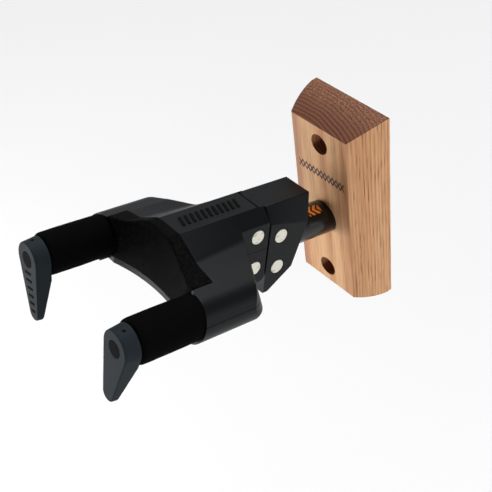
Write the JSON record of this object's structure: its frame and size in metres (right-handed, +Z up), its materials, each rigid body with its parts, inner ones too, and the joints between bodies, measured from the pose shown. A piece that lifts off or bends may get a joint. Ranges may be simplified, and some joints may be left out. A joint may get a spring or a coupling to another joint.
{
  "type": "wall guitar hanger",
  "caption": "Wall hanger that cradles a guitar neck between two foam covered arms; its yoke drops under load on parallel links and swings two gates shut.",
  "frame": {"origin": "centre of the wooden block's back face, on the wall, midway between the two screw holes", "axes": "+Y into the wall, so the arms reach out along -Y and rise 15 degrees; +Z up; +X to the right as seen facing the wall"},
  "size_m": [0.101, 0.1853, 0.122],
  "materials": {
    "oiled_hardwood": "oiled close-grained hardwood",
    "black_enamel": "gloss black enamel",
    "zinc_steel": "zinc plated",
    "spring_steel": "bright spring wire",
    "printed_label": "black film with a printed orange mark",
    "white_nylon": "natural nylon",
    "charcoal_nylon": "fine moulded texture",
    "nickel_pin": "satin nickel",
    "black_screw": "black oxide",
    "black_foam": "closed cell foam, matte",
    "cradle_rubber": "soft moulded rubber, fine grain",
    "slate_nylon": "blue-grey moulded nylon",
    "black_plug": "plain"
  },
  "bodies": {
    "post": {"wood_base": "oiled_hardwood", "support_post": "black_enamel", "base_bolt": "zinc_steel", "base_washer": "zinc_steel", "post_label": "printed_label", "stop_pin": "zinc_steel", "thrust_washer": "white_nylon", "end_washer": "zinc_steel", "end_screw": "zinc_steel"},
    "head": {"rear_housing": "charcoal_nylon", "gate_actuator": "zinc_steel", "return_spring": "spring_steel", "rear_upper_pin": "nickel_pin", "rear_lower_pin": "nickel_pin"},
    "upper_link": {"upper_link": "zinc_steel", "upper_link_bushes": "white_nylon"},
    "lower_link": {"lower_link": "zinc_steel", "lower_link_bushes": "white_nylon"},
    "yoke": {"yoke_top_shell": "charcoal_nylon", "yoke_bottom_shell": "charcoal_nylon", "shell_screws": "black_screw", "cradle_pad": "cradle_rubber", "front_upper_pin": "nickel_pin", "front_lower_pin": "nickel_pin", "arm_tube_left": "zinc_steel", "arm_tube_right": "zinc_steel", "foam_sleeve_left": "black_foam", "foam_sleeve_right": "black_foam"},
    "gate_left": {"gate_left": "slate_nylon", "gate_plug_left": "black_plug", "gate_set_screw_left": "black_screw", "gate_rod_left": "zinc_steel", "gate_crank_left": "zinc_steel", "crank_screw_left": "black_screw"},
    "gate_right": {"gate_right": "slate_nylon", "gate_plug_right": "black_plug", "gate_set_screw_right": "black_screw", "gate_rod_right": "zinc_steel", "gate_crank_right": "zinc_steel", "crank_screw_right": "black_screw"}
  },
  "joints": [
    {"name": "swivel", "type": "hinge", "parent": "post", "child": "head", "pos_m": [0, -0.05877, 0.00442], "axis": [0, 0.9659, -0.2588], "range_deg": [-30, 30]},
    {"name": "yoke_drop", "type": "hinge", "parent": "head", "child": "upper_link", "pos_m": [0, -0.06533, 0.01704], "axis": [1, 0, 0], "range_deg": [0, 31.2], "stiffness_Nm_per_rad": 0.09, "springref_deg": -34.38, "deforming": ["return_spring"]},
    {"name": "lower_link_pivot", "type": "hinge", "parent": "head", "child": "lower_link", "pos_m": [0, -0.07022, -0.00121], "axis": [1, 0, 0], "range_deg": [0, 31.2]},
    {"name": "yoke_level", "type": "hinge", "parent": "upper_link", "child": "yoke", "pos_m": [0, -0.07944, 0.02539], "axis": [1, 0, 0], "range_deg": [-31.2, 0]},
    {"name": "gate_right_swing", "type": "hinge", "parent": "yoke", "child": "gate_right", "pos_m": [0.0388, -0.17248, 0.03985], "axis": [0, 0.9659, -0.2588], "range_deg": [0, 85.01]},
    {"name": "gate_left_swing", "type": "hinge", "parent": "yoke", "child": "gate_left", "pos_m": [-0.0388, -0.17248, 0.03985], "axis": [0, 0.9659, -0.2588], "range_deg": [-85.01, 0]}
  ],
  "couplings": [
    {"joint": "lower_link_pivot", "follows": "yoke_drop", "ratio": 1},
    {"joint": "yoke_level", "follows": "yoke_drop", "ratio": -1},
    {"joint": "gate_right_swing", "follows": "yoke_drop", "ratio": 2.7244},
    {"joint": "gate_left_swing", "follows": "yoke_drop", "ratio": -2.7244}
  ]
}
